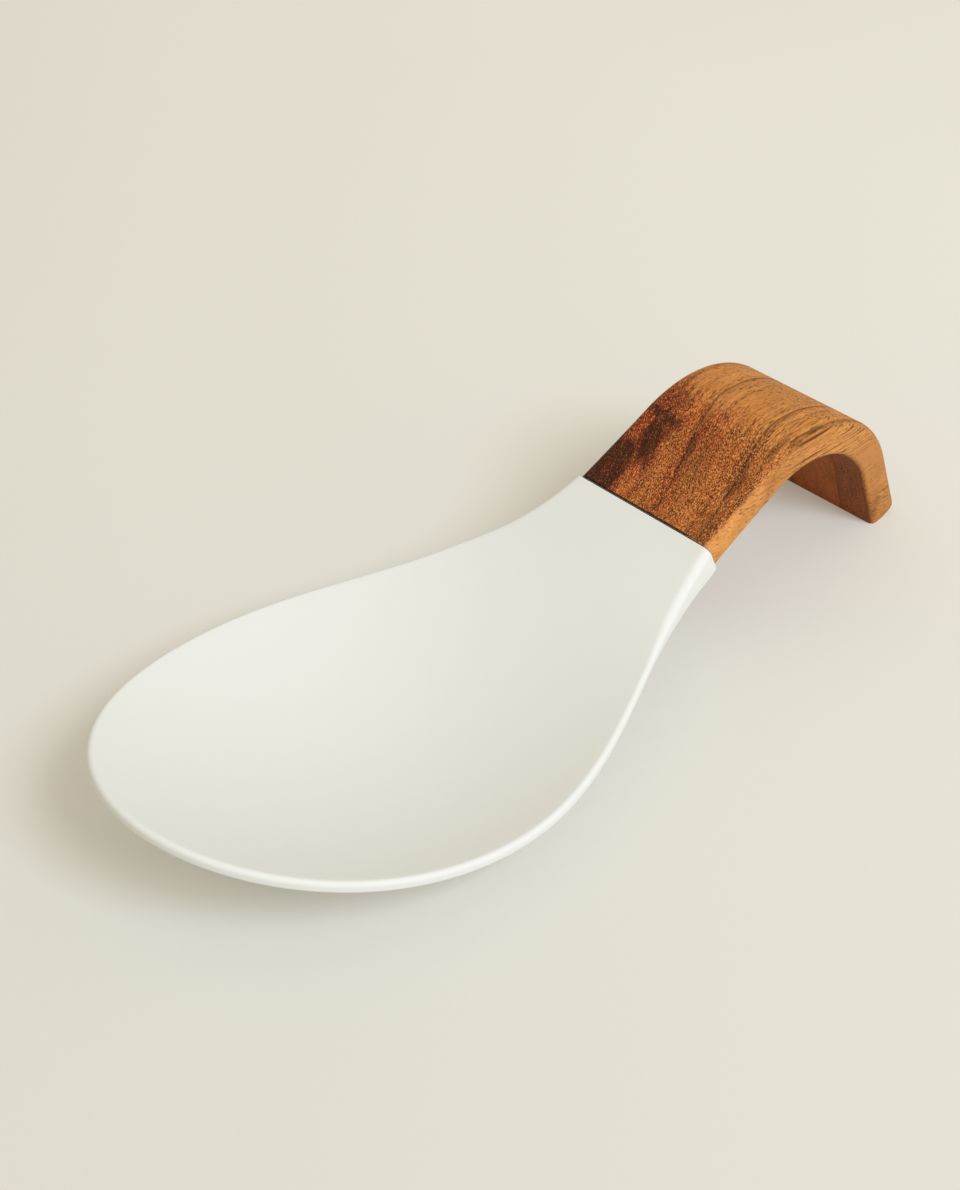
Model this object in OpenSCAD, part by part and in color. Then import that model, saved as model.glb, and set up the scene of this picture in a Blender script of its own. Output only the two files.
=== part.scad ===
// Spoon rest: a moulded white dish with a pear-shaped plan and a rocker-shaped lip,
// carried at its neck by an arched wooden handle that stands on its own end.
// The neck ends in a tongue that is glued into a mortise in the handle.
// Millimetres, +Z up, tip of the dish towards -X, origin on the table under the
// middle of the overall box.

/* [Dish plan] */
// Length from the tip to the joint, along the top face
head_l = 164; // [156:1:174]
// Distance from the tip to the widest place
belly_l = 68; // [61:1:74]
// Greatest width, over the lip
bowl_w = 108.5; // [98:0.5:120]
// Length over which the plan narrows from the belly towards the handle
flare_l = 110; // [104:1:118]

/* [Dish height] */
// Height of the lip at the tip
tip_h = 30; // [26:0.5:34]
// Height of the lip at its lowest place
side_h = 14; // [13:0.5:16]
// Distance from the tip to the lowest place of the lip
low_l = 89; // [84:1:96]
// Height of the top face at the joint
neck_h = 30; // [28:0.5:32]
// Depth of the dish below its lip
dish_d = 11.5; // [10:0.5:12]

/* [Dish wall] */
// Thickness at the lip
rim_t = 2.8; // [2.4:0.1:4]
// Thickness of the floor before its underside is cut flat
floor_t = 5.4; // [4.6:0.1:6]
// Thickness at the joint
neck_t = 9.4; // [8:0.1:11]
// Length before the joint over which the wall thickens
thicken_l = 34; // [26:1:42]
// Largest rounding of the lip's upper edge
lip_round = 2.2; // [1.2:0.1:3]
// Largest rounding of the lip's lower edge
lip_under = 0.6; // [0.4:0.1:1]
// Flat left at the nose of the lip
lip_flat = 0.4; // [0.2:0.1:1]

/* [Handle] */
// Width at the joint
handle_root_w = 46; // [42:0.5:50]
// Width over the arch
handle_w = 44; // [40:0.5:48]
// Width at the foot
foot_w = 41.6; // [37:0.2:44]
// Length from the joint over which the width draws in
draw_in_l = 45; // [30:1:60]
// Length up from the foot over which the width draws in
foot_draw_l = 55; // [40:1:70]
// Thickness at the joint
handle_root_t = 7.6; // [7:0.1:9]
// Thickness at the foot
handle_foot_t = 11; // [8.5:0.1:13]
// Angle at which the handle rises from the joint
rise_a = 26; // [23:0.5:29]
// Straight length from the joint to the start of the arch
run_l = 27; // [24:1:32]
// Outer radius of the arch
arch_r = 38.5; // [34:0.5:42]
// Lean of the leg away from upright
leg_lean_a = 23; // [14:0.5:26]
// Rounding of the upper long edges
top_round = 2.8; // [1:0.1:3.4]
// Rounding of the lower long edges
under_round = 1.4; // [0.5:0.1:2]
// Rounding of the foot's outer edge
foot_round = 2.5; // [1:0.1:3.2]
// Rounding of the foot's side edges
foot_side_round = 4.5; // [1:0.1:6]

/* [Joint] */
// Step from the handle's side in from the neck's side
side_step = 1; // [0.2:0.1:1.5]
// Length of the tongue beyond the joint
tongue_l = 16; // [10:0.5:20]
// Width of the tongue
tongue_w = 28; // [20:0.5:32]
// Thickness of the tongue
tongue_t = 3; // [2:0.1:3.6]
// Length of the tongue's root inside the neck
root_l = 6; // [4:0.5:9]
// Thickness of the glue at the shoulder
glue_t = 0.5; // [0.3:0.05:0.8]
// Thickness of the glue around the tongue
glue_gap = 0.25; // [0.1:0.05:0.4]
// Distance that the glue stays back from the joint's outer edge
glue_inset = 0.2; // [0.1:0.05:0.6]

/* [Hidden] */
$fn = 48;

// Steps of the surfaces: along the flare, round the tip, across the dish, round the lip
flare_steps = 26;
fan_steps = 36;
dish_steps = 9;
lip_steps = 4;
// Steps of the handle: along a straight, round the arch, round a corner, round the foot
straight_steps = 6;
arch_steps = 30;
corner_steps = 5;
foot_steps = 7;
// Step used to measure the slope of the dish
slope_step = 0.05;
// Part of the lip that its upper rounding may take
upper_share = 0.45;
// Power of the wall's thickening towards the joint
thicken_power = 1.3;

// Width of the neck at the joint, and the width that the flare would run out to past it
neck_w = handle_root_w + 2 * side_step;
left_share = (1 + cos(180 * min(1, (head_l - belly_l) / flare_l))) / 2;
waist_w = (neck_w - bowl_w * left_share) / (1 - left_share);
// The neck's lip meets the handle's rise without a kink
neck_power = tan(rise_a) * (head_l - low_l) / (neck_h - side_h);
// The raw neck runs past the joint and past the flare, and the joint's face cuts it
raw_neck_l = max(head_l + neck_t, belly_l + flare_l);

// Handle's outer profile: end of the straight, centre of the arch, start of the leg, foot
leg_a = 90 - leg_lean_a;
run_end = [head_l + run_l * cos(rise_a), neck_h + run_l * sin(rise_a)];
arch_c = run_end + arch_r * [sin(rise_a), -cos(rise_a)];
leg_start = arch_c + arch_r * [sin(leg_a), cos(leg_a)];
leg_l = leg_start.y / sin(leg_a);
// The foot's rounding takes its outermost place back a little
total_l = leg_start.x + leg_l * cos(leg_a) - foot_round * (cos(leg_a) + sin(leg_a) - 1);
// Raw ends of the handle, past the joint's face and past the table
root_over = handle_root_t;
foot_over = handle_foot_t;
path_l = run_l + arch_r * PI * (rise_a + leg_a) / 180 + leg_l;
// Size of the blocks that cut along a plane
cut_l = total_l + bowl_w;

// Plan of the dish

// Half width over the lip at a distance x from the tip, from the belly on
function flare_half_w(x) =
    waist_w / 2 + (bowl_w - waist_w) / 4 * (1 + cos(180 * flare_share(x)));
function flare_share(x) = min(1, (x - belly_l) / flare_l);
// Change of that half width per length
function flare_slope(x) =
    -(bowl_w - waist_w) / 4 * PI / flare_l * sin(180 * flare_share(x));

// Heights of the dish

// From 0 at the belly to 1 at the joint: the dish fades out
function neck_share(x) =
    (1 - cos(180 * max(0, min(1, (x - belly_l) / (head_l - belly_l))))) / 2;
// From 0 to 1 at the joint: the wall thickens
function thick_share(x) =
    pow(max(0, min(1, 1 - (head_l - x) / thicken_l)), thicken_power);
// Top of the lip
function lip_h(x) = x < low_l
    ? side_h + (tip_h - side_h) * pow((low_l - x) / low_l, 2)
    : side_h + (neck_h - side_h) * pow((x - low_l) / (head_l - low_l), neck_power);
// Wall at a place whose squared share of the way out to the lip is q
function wall_t(x, q) =
    (rim_t + (floor_t - rim_t) * max(0, 1 - q)) * (1 - thick_share(x)) + neck_t * thick_share(x);
// Rounding of the lip's upper edge, and of its lower edge in what is left of the wall
function lip_r(x) = min(lip_round, (wall_t(x, 1) - lip_flat) * upper_share);
function under_r(x) = min(lip_under, wall_t(x, 1) - lip_flat - lip_r(x));
// Squared share of the way out to the lip
function out_share(x, y) = x < belly_l
    ? pow((belly_l - x) / (belly_l - lip_r(x)), 2) + pow(y / (bowl_w / 2 - lip_r(x)), 2)
    : pow(y / (flare_half_w(x) - lip_r(x)), 2);
// Height of the middle of the wall
function mid_h(x, y) =
    lip_h(x) - wall_t(x, 1) / 2 - dish_d * (1 - neck_share(x)) * (1 - out_share(x, y));

function unit(v) = v / norm(v);
// Upward normal of the middle of the wall
function mid_normal(x, y) = unit([
    -(mid_h(x + slope_step, y) - mid_h(x - slope_step, y)) / (2 * slope_step),
    -(mid_h(x, y + slope_step) - mid_h(x, y - slope_step)) / (2 * slope_step),
    1]);
// Point of the wall: side is 1 on the upper face and -1 on the underside
function wall_point(x, y, side) =
    [x, y, mid_h(x, y)] + side * wall_t(x, out_share(x, y)) / 2 * mid_normal(x, y);

// Ribs run from the spine out to the lip, round it and back under to the spine. They follow
// each other along one side, round the tip and back along the other side.

function station_x(i) = raw_neck_l + (belly_l - raw_neck_l) * i / flare_steps;
// A rib is its place on the spine, the end of the wall's middle, and the outward direction in plan
function side_rib(i, hand) =
    let (x = station_x(i), out = unit([-flare_slope(x), hand]), r = lip_r(x))
    [i, [x, hand * flare_half_w(x)] - r * out, out];
function fan_rib(i) =
    let (a = 180 * i / fan_steps,
         out = unit([-sin(a) / belly_l, cos(a) / (bowl_w / 2)]),
         tip = [belly_l - belly_l * sin(a), bowl_w / 2 * cos(a)])
    [flare_steps, tip - lip_r(tip.x) * out, out];
ribs = concat(
    [for (i = [0:flare_steps]) side_rib(i, 1)],
    [for (i = [1:fan_steps - 1]) fan_rib(i)],
    [for (i = [flare_steps:-1:0]) side_rib(i, -1)]);

// Direction at an angle above the outward direction, in the plane across the lip
function lip_dir(out, up, a) = cos(a) * out + sin(a) * up;
// Points of a rib: upper face, lip with an upright outer face, underside
function rib_points(rib) =
    let (s = [station_x(rib[0]), 0],
         e = rib[1],
         n = mid_normal(e.x, e.y),
         out = [rib[2].x, rib[2].y, 0],
         lean_a = -asin(out * n),
         up = unit(n + sin(lean_a) * out),
         r = lip_r(e.x),
         q = under_r(e.x),
         t = wall_t(e.x, out_share(e.x, e.y)),
         face_h = (t - r - q - (r - q) * sin(lean_a)) / cos(lean_a),
         upper_c = [e.x, e.y, mid_h(e.x, e.y)] + (t / 2 - r) * n,
         under_c = upper_c + (r - q) * out - face_h * up)
    concat(
        [for (j = [1:dish_steps]) let (p = s + (e - s) * j / dish_steps) wall_point(p.x, p.y, 1)],
        [for (j = [1:lip_steps]) upper_c + r * lip_dir(out, up, (90 + lean_a) * (1 - j / lip_steps))],
        [for (j = [0:lip_steps]) under_c + q * lip_dir(out, up, (lean_a - 90) * j / lip_steps)],
        [for (j = [dish_steps - 1:-1:1]) let (p = s + (e - s) * j / dish_steps) wall_point(p.x, p.y, -1)]);

// Dish before its base and its joint are cut
module raw_dish() {
    spine_n = flare_steps + 1;
    rib_n = len(ribs);
    row_n = 2 * dish_steps + 2 * lip_steps;
    points = concat(
        [for (i = [0:flare_steps]) wall_point(station_x(i), 0, 1)],
        [for (i = [0:flare_steps]) wall_point(station_x(i), 0, -1)],
        [for (rib = ribs) each rib_points(rib)],
        [[raw_neck_l, 0, mid_h(raw_neck_l, 0)]]);
    function at(k, j) = 2 * spine_n + k * row_n + j;
    function upper(k) = ribs[k][0];
    function under(k) = spine_n + ribs[k][0];
    skin = [for (k = [0:rib_n - 2]) for (j = [0:row_n - 2])
        each [[at(k, j), at(k + 1, j), at(k + 1, j + 1)], [at(k, j), at(k + 1, j + 1), at(k, j + 1)]]];
    spine_upper = [for (k = [0:rib_n - 2]) each concat(
        [[upper(k), at(k + 1, 0), at(k, 0)]],
        upper(k) == upper(k + 1) ? [] : [[upper(k), upper(k + 1), at(k + 1, 0)]])];
    spine_under = [for (k = [0:rib_n - 2]) each concat(
        [[under(k), at(k, row_n - 1), at(k + 1, row_n - 1)]],
        under(k) == under(k + 1) ? [] : [[under(k), at(k + 1, row_n - 1), under(k + 1)]])];
    // The raw end is a fan of triangles about its middle
    rim = concat(
        [upper(0)], [for (j = [0:row_n - 1]) at(0, j)],
        [under(0)], [for (j = [row_n - 1:-1:0]) at(rib_n - 1, j)]);
    end = [for (i = [0:len(rim) - 1]) [len(points) - 1, rim[i], rim[(i + 1) % len(rim)]]];
    polyhedron(points, concat(skin, spine_upper, spine_under, end), convexity = 6);
}

// Handle

// Place and heading on the handle's outer profile, at a length from the joint
function on_path(l) =
    l < run_l ? [[head_l, neck_h] + l * [cos(rise_a), sin(rise_a)], rise_a]
    : l < path_l - leg_l
        ? let (a = rise_a - (l - run_l) / arch_r * 180 / PI) [arch_c + arch_r * [-sin(a), cos(a)], a]
        : [leg_start + (l - path_l + leg_l) * [cos(leg_a), -sin(leg_a)], -leg_a];
function handle_t(l) = handle_root_t + (handle_foot_t - handle_root_t) * l / path_l;
function handle_half_w(l) =
    (handle_w + (handle_root_w - handle_w) * pow(max(0, 1 - l / draw_in_l), 2)
        - (handle_w - foot_w) * foot_share(l)) / 2;
// From 0 where the width starts to draw in towards the foot to 1 at the foot
function foot_share(l) =
    let (d = max(0, min(1, 1 - (path_l - l) / foot_draw_l)))
    d * d * (3 - 2 * d);
// Distance that a rounding of radius r at the foot takes off a face
function foot_in(l, r) =
    let (d = max(0, min(r, l - path_l + r)))
    r - sqrt(pow(r, 2) - pow(d, 2));
// Quarter of a rounded corner, as offsets across and down from the corner's centre
function corner(r, from_a) =
    [for (i = [0:corner_steps]) let (a = from_a + 90 * i / corner_steps) r * [cos(a), sin(a)]];
// Section of the handle with half width w, across and up from the middle of its upper face
function section(w, t) =
    let (r = top_round, q = under_round)
    concat(
        [for (p = corner(r, 0)) p + [w - r, -r]],
        [for (p = corner(r, 90)) p + [r - w, -r]],
        [for (p = corner(q, 180)) p + [q - w, q - t]],
        [for (p = corner(q, 270)) p + [w - q, q - t]]);

// Handle before its ends and its mortise are cut
module raw_handle() {
    end_r = max(foot_round, foot_side_round);
    lengths = concat(
        [for (i = [0:straight_steps]) -root_over + (run_l + root_over) * i / straight_steps],
        [for (i = [1:arch_steps]) run_l + (path_l - leg_l - run_l) * i / arch_steps],
        [for (i = [1:straight_steps]) path_l - leg_l + (leg_l - end_r) * i / straight_steps],
        [for (i = [1:foot_steps]) path_l - end_r * (1 - sin(90 * i / foot_steps))],
        [path_l + foot_over]);
    rings = [for (l = lengths)
        let (p = on_path(l),
             up = [-sin(p[1]), cos(p[1])],
             back = foot_in(l, foot_round),
             w = handle_half_w(l) - foot_in(l, foot_side_round))
        [for (q = section(w, handle_t(l) - back))
            let (m = p[0] + (q.y - back) * up) [m.x, q.x, m.y]]];
    ring_n = len(rings[0]);
    last = len(lengths) - 1;
    function at(k, j) = k * ring_n + j % ring_n;
    sides = [for (k = [0:last - 1]) for (j = [0:ring_n - 1])
        each [[at(k, j), at(k + 1, j + 1), at(k, j + 1)], [at(k, j), at(k + 1, j), at(k + 1, j + 1)]]];
    ends = [
        [for (j = [0:ring_n - 1]) at(0, j)],
        [for (j = [ring_n - 1:-1:0]) at(last, j)]];
    polyhedron([for (ring = rings) each ring], concat(sides, ends), convexity = 6);
}

// Joint

// Moves its children so that x = 0 is the joint's face, square to the handle's rise, and z = 0
// is the neck's top edge there
module at_joint() {
    translate([head_l, 0, neck_h])
        rotate([0, -rise_a, 0])
            children();
}

// Everything further along the handle than a distance past the joint's face
module past_joint(distance) {
    at_joint()
        translate([distance, -cut_l / 2, -cut_l / 2])
            cube(cut_l);
}

// Everything below the table
module below_table() {
    translate([-cut_l / 2, -cut_l / 2, -cut_l])
        cube([2 * cut_l, cut_l, cut_l]);
}

// Tongue along the middle of the handle, or its mortise where it is grown by a gap
module tongue(gap) {
    at_joint()
        translate([-root_l, -tongue_w / 2 - gap, -handle_root_t / 2 - tongue_t / 2 - gap])
            cube([root_l + tongue_l + gap, tongue_w + 2 * gap, tongue_t + 2 * gap]);
}

// Film of glue on the joint's face, as the handle's end without a border
module shoulder_film() {
    film_w = handle_root_w - 2 * glue_inset;
    film_h = handle_root_t - 2 * glue_inset;
    r = min(top_round - glue_inset, film_h / 2 - lip_flat);
    at_joint()
        translate([0, 0, -handle_root_t / 2])
            rotate([90, 0, 90])
                linear_extrude(glue_t)
                    rounded_plate(film_w, film_h, r);
}

// Rectangle about the origin with rounded corners
module rounded_plate(w, h, r) {
    square([w - 2 * r, h], center = true);
    square([w, h - 2 * r], center = true);
    for (x = [-1, 1], y = [-1, 1])
        translate([x * (w / 2 - r), y * (h / 2 - r)])
            circle(r);
}

// Puts the origin under the middle of the overall box
module placed() {
    translate([-total_l / 2, 0, 0])
        children();
}

// Pieces

// White moulded dish with its neck and its tongue
module bowl() {
    color("whitesmoke")
        placed() {
            difference() {
                raw_dish();
                past_joint(0);
                below_table();
            }
            tongue(0);
        }
}

// Arched wooden handle with a mortise for the tongue
module handle() {
    color("peru")
        placed()
            difference() {
                raw_handle();
                at_joint()
                    translate([glue_t - cut_l, -cut_l / 2, -cut_l / 2])
                        cube(cut_l);
                below_table();
                tongue(glue_gap);
            }
}

// Cured glue on the shoulder and around the tongue
module glue_line() {
    color("saddlebrown")
        placed()
            difference() {
                union() {
                    shoulder_film();
                    intersection() {
                        tongue(glue_gap);
                        past_joint(0);
                    }
                }
                tongue(0);
            }
}

bowl();
handle();
glue_line();
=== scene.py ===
"""Looks of the spoon rest: a white moulded dish glued to an arched acacia handle.

Sizes of the pieces and of their finishes are millimetres, meshes and the studio are in metres.
A name that ends in _l, _w, _t, _h, _d or _r is a length, a width, a thickness, a height, a depth
or a radius, and one that ends in _n is a count. +X runs from the dish's tip to the handle's foot,
+Z is up, the table is z = 0, and x = 0 is under the middle of the overall box.
"""

import logging
import math
from collections.abc import Mapping, Sequence
from dataclasses import dataclass, field
from enum import Enum

import bmesh
import bpy
from mathutils import Matrix, Vector


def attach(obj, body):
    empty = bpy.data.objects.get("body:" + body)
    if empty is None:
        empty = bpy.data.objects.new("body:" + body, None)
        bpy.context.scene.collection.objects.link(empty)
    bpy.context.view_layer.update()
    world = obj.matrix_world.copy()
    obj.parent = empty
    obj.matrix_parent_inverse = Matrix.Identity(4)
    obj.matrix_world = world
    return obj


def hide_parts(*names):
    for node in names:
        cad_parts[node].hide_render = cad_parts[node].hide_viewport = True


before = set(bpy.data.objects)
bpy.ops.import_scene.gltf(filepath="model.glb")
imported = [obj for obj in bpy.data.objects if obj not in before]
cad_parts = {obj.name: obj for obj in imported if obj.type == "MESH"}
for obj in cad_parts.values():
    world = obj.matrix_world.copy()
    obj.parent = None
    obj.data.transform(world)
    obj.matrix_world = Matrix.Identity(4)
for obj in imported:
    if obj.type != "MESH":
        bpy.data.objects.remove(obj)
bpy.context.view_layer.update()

LOG = logging.getLogger("spoon_rest")
BODY = "root"
MM = 0.001
QUARTER = math.pi / 2
SEAM_MM = 0.001
WELD_MM = 0.002
CORNER_N = 4
MIX_SHARE, MIX_FIRST, MIX_SECOND, MIX_COLOUR = 0, 6, 7, 2
TABLE, DOWN = Vector((0, 0, 0)), Vector((0, 0, -1))

Number = float | int
Colour = tuple[float, float, float, float]
Span = tuple[float, float]
Rib = tuple[int, Vector, Vector]


class Slot(Enum):
    """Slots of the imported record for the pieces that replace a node."""

    DISH = "dish"
    WOOD = "wood"


class Carve(Enum):
    """What a tool solid does to a piece."""

    JOIN = "UNION"
    CUT = "DIFFERENCE"


def srgb(red: int, green: int, blue: int) -> Colour:
    """Turn an 8-bit display colour into the linear colour that shaders take.

    Args:
        red: Red from 0 to 255.
        green: Green from 0 to 255.
        blue: Blue from 0 to 255.

    Returns:
        Linear red, green and blue with full alpha.
    """

    def channel(value: int) -> float:
        """Undo the display curve for one channel."""
        share = value / 255
        return share / 12.92 if share <= 0.04045 else ((share + 0.055) / 1.055) ** 2.4

    return channel(red), channel(green), channel(blue), 1.0


class Wire:
    """A node's output socket. Arithmetic on it adds Math nodes to its tree."""

    def __init__(self, graph: "Graph", socket: bpy.types.NodeSocket | None) -> None:
        """Keep the tree and the socket."""
        self.graph = graph
        self.socket = socket

    def other(self, name: str | int) -> "Wire":
        """Another output of the same node."""
        return Wire(self.graph, self.socket.node.outputs[name])

    def math(self, operation: str, *values: "Wire | Number") -> "Wire":
        """Add one Math node.

        Args:
            operation: Name of the Math node's operation.
            *values: What feeds its inputs, in order.

        Returns:
            The node's result.
        """
        inputs = dict(enumerate(values))
        return self.graph.add("ShaderNodeMath", {"operation": operation}, inputs)

    def __add__(self, other: "Wire | Number") -> "Wire":
        """Sum."""
        return self.math("ADD", self, other)

    __radd__ = __add__

    def __sub__(self, other: "Wire | Number") -> "Wire":
        """Difference."""
        return self.math("SUBTRACT", self, other)

    def __rsub__(self, other: "Wire | Number") -> "Wire":
        """Difference from a number."""
        return self.math("SUBTRACT", other, self)

    def __mul__(self, other: "Wire | Number") -> "Wire":
        """Product."""
        return self.math("MULTIPLY", self, other)

    __rmul__ = __mul__

    def __truediv__(self, other: "Wire | Number") -> "Wire":
        """Quotient."""
        return self.math("DIVIDE", self, other)

    def __rtruediv__(self, other: "Wire | Number") -> "Wire":
        """Number divided by this."""
        return self.math("DIVIDE", other, self)

    def __pow__(self, power: Number) -> "Wire":
        """Power."""
        return self.math("POWER", self, power)

    def __neg__(self) -> "Wire":
        """Negative."""
        return self.math("MULTIPLY", self, -1)

    def __abs__(self) -> "Wire":
        """Size without its sign."""
        return self.math("ABSOLUTE", self)

    def __floordiv__(self, count: int) -> "Wire":
        """Whole times that a count goes into a whole number, with a half against rounding."""
        return self.math("FLOOR", (self + 0.5) / count)

    def __mod__(self, count: int) -> "Wire":
        """What those whole times leave over."""
        return self - self // count * count

    def sign(self) -> "Wire":
        """Minus one, zero or one."""
        return self.math("SIGN", self)

    def sqrt(self) -> "Wire":
        """Square root."""
        return self.math("SQRT", self)

    def sin(self) -> "Wire":
        """Sine."""
        return self.math("SINE", self)

    def cos(self) -> "Wire":
        """Cosine."""
        return self.math("COSINE", self)

    def below(self, limit: Number) -> "Wire":
        """One where this is less than the limit, else zero."""
        return self.math("LESS_THAN", self, limit)

    def at_least(self, low: "Wire | Number") -> "Wire":
        """Larger of the two."""
        return self.math("MAXIMUM", self, low)

    def at_most(self, high: "Wire | Number") -> "Wire":
        """Smaller of the two."""
        return self.math("MINIMUM", self, high)

    def clamp(self, low: "Wire | Number", high: "Wire | Number") -> "Wire":
        """Kept between two limits."""
        return self.at_least(low).at_most(high)

    def ease(self, start: "Wire | Number", end: "Wire | Number") -> "Wire":
        """Smooth step from zero at start to one at end.

        Args:
            start: Value where the step begins.
            end: Value where the step is complete; it may be the smaller one.

        Returns:
            A value from zero to one.
        """
        share = ((self - start) / (end - start)).clamp(0, 1)
        return share * share * (3 - 2 * share)


@dataclass
class Graph:
    """A node tree, with one method that adds any node."""

    tree: bpy.types.NodeTree

    def add(
        self,
        kind: str,
        settings: Mapping[str, object] | None = None,
        inputs: Mapping[str | int, object] | None = None,
        out: str | int = 0,
    ) -> Wire:
        """Add a node.

        Args:
            kind: The node's type.
            settings: Its properties, set before its inputs.
            inputs: A value or a wire for each input socket, by name or place.
            out: The output to hand back.

        Returns:
            That output, or an empty wire where the node has none.
        """
        node = self.tree.nodes.new(kind)
        for name, value in (settings or {}).items():
            setattr(node, name, value)
        for key, value in (inputs or {}).items():
            if isinstance(value, Wire):
                self.tree.links.new(value.socket, node.inputs[key])
            else:
                node.inputs[key].default_value = value
        return Wire(self, node.outputs[out] if len(node.outputs) else None)

    def mix(self, share: Wire | Number, first: Wire | Colour, second: Wire | Colour) -> Wire:
        """Blend two colours.

        Args:
            share: How much of the second colour, from zero to one.
            first: Colour at zero.
            second: Colour at one.

        Returns:
            The blended colour.
        """
        inputs = {MIX_SHARE: share, MIX_FIRST: first, MIX_SECOND: second}
        return self.add("ShaderNodeMix", {"data_type": "RGBA"}, inputs, MIX_COLOUR)

    def shade(self, colour: Wire | Colour, factor: Wire) -> Wire:
        """Make a colour lighter or darker.

        Args:
            colour: The colour.
            factor: What each channel is multiplied by.

        Returns:
            The changed colour.
        """
        start = colour if isinstance(colour, Wire) else colour[:3]
        inputs = {0: start, "Scale": factor}
        return self.add("ShaderNodeVectorMath", {"operation": "SCALE"}, inputs)


@dataclass(frozen=True)
class Pattern:
    """A noise in a material, with its size in millimetres on each axis."""

    along: float
    across: float
    up: float
    octaves: float
    seed: float

    def noise(self, graph: Graph, place: Sequence[Wire]) -> Wire:
        """Add the noise to a tree.

        Args:
            graph: The tree.
            place: Where the noise is read, in millimetres on three axes.

        Returns:
            A value about zero, mostly within 0.3 of it.
        """
        sizes = (self.along, self.across, self.up)
        shifted = [axis / size + self.seed for axis, size in zip(place, sizes)]
        where = graph.add("ShaderNodeCombineXYZ", None, dict(enumerate(shifted)))
        inputs = {"Vector": where, "Scale": 1.0, "Detail": self.octaves}
        return graph.add("ShaderNodeTexNoise", None, inputs) - 0.5


class Finish:
    """A material whose colour, gloss and relief come from object coordinates."""

    name: str = "finish"

    def start(self) -> tuple[bpy.types.Material, Graph, tuple[Wire, Wire, Wire]]:
        """Make an empty material.

        Returns:
            The material, its tree, and the place on the piece in millimetres.
        """
        material = bpy.data.materials.new(self.name)
        material.use_nodes = True
        material.node_tree.nodes.clear()
        graph = Graph(material.node_tree)
        metres = graph.add("ShaderNodeTexCoord", out="Object")
        to_mm = {0: metres, "Scale": 1 / MM}
        place = graph.add("ShaderNodeVectorMath", {"operation": "SCALE"}, to_mm)
        axes = graph.add("ShaderNodeSeparateXYZ", None, {0: place})
        return material, graph, (axes, axes.other("Y"), axes.other("Z"))

    def end(
        self, graph: Graph, sockets: Mapping[str, object], relief: Wire, depth_mm: float
    ) -> None:
        """Add the surface shader, with a bump, and the output.

        Args:
            graph: The material's tree.
            sockets: What feeds the surface shader.
            relief: Height of the surface, from zero to one.
            depth_mm: Height that one stands for.
        """
        height = {"Height": relief, "Strength": 1.0, "Distance": depth_mm * MM}
        bump = graph.add("ShaderNodeBump", None, height)
        surface = graph.add("ShaderNodeBsdfPrincipled", None, {**sockets, "Normal": bump})
        graph.add("ShaderNodeOutputMaterial", None, {"Surface": surface})

    def material(self) -> bpy.types.Material:
        """Make the material. Each finish has its own."""
        raise NotImplementedError


@dataclass(frozen=True)
class Melamine(Finish):
    """Smooth matt off-white moulding, very slightly mottled."""

    name: str = "off_white_moulding"
    body: Colour = srgb(230, 231, 227)
    mottle: Pattern = Pattern(9.0, 9.0, 9.0, 3.0, 4.0)
    mottle_depth: float = 0.012
    haze: Pattern = Pattern(1.1, 1.1, 1.1, 2.0, 9.0)
    roughness: float = 0.64
    roughness_spread: float = 0.10
    shine: float = 0.2
    orange_peel_mm: float = 0.004

    def material(self) -> bpy.types.Material:
        """Make the moulding's material.

        Returns:
            The material.
        """
        material, graph, place = self.start()
        mottle = self.mottle.noise(graph, place)
        haze = self.haze.noise(graph, place)
        sockets = {
            "Base Color": graph.shade(self.body, 1 + mottle * self.mottle_depth),
            "Roughness": self.roughness + (mottle + haze) * self.roughness_spread,
            "Specular IOR Level": self.shine,
        }
        self.end(graph, sockets, haze, self.orange_peel_mm)
        return material


@dataclass(frozen=True)
class Ring:
    """A dark line between two growth layers, with softer late wood on its near side.

    The place is measured across the board at the joint, positive towards the far side.
    """

    place_mm: float
    width_mm: float
    depth: float


@dataclass(frozen=True)
class Stain:
    """A dark patch of heartwood, an ellipse seen from above."""

    x_mm: float
    y_mm: float
    long_mm: float
    wide_mm: float
    turn_deg: float
    depth: float


@dataclass(frozen=True)
class Weight:
    """How strongly a pattern shows: everywhere, more in heartwood, more by the near edge."""

    plain: float
    heart: float = 0.0
    near: float = 0.0

    def here(self, heart: Wire, near: Wire) -> Wire:
        """Weight at a place with these shares of heartwood and near edge."""
        return self.plain + heart * self.heart + near * self.near


@dataclass(frozen=True)
class Spot:
    """The place that is shaded, with its share of each face and wood and its patterns."""

    graph: Graph
    x: Wire
    y: Wire
    z: Wire
    layer: Wire
    side: Wire
    near: Wire
    sap: Wire
    heart: Wire
    broad: Wire
    streak: Wire
    fibre: Wire
    speckle: Wire
    pore: Wire


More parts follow.
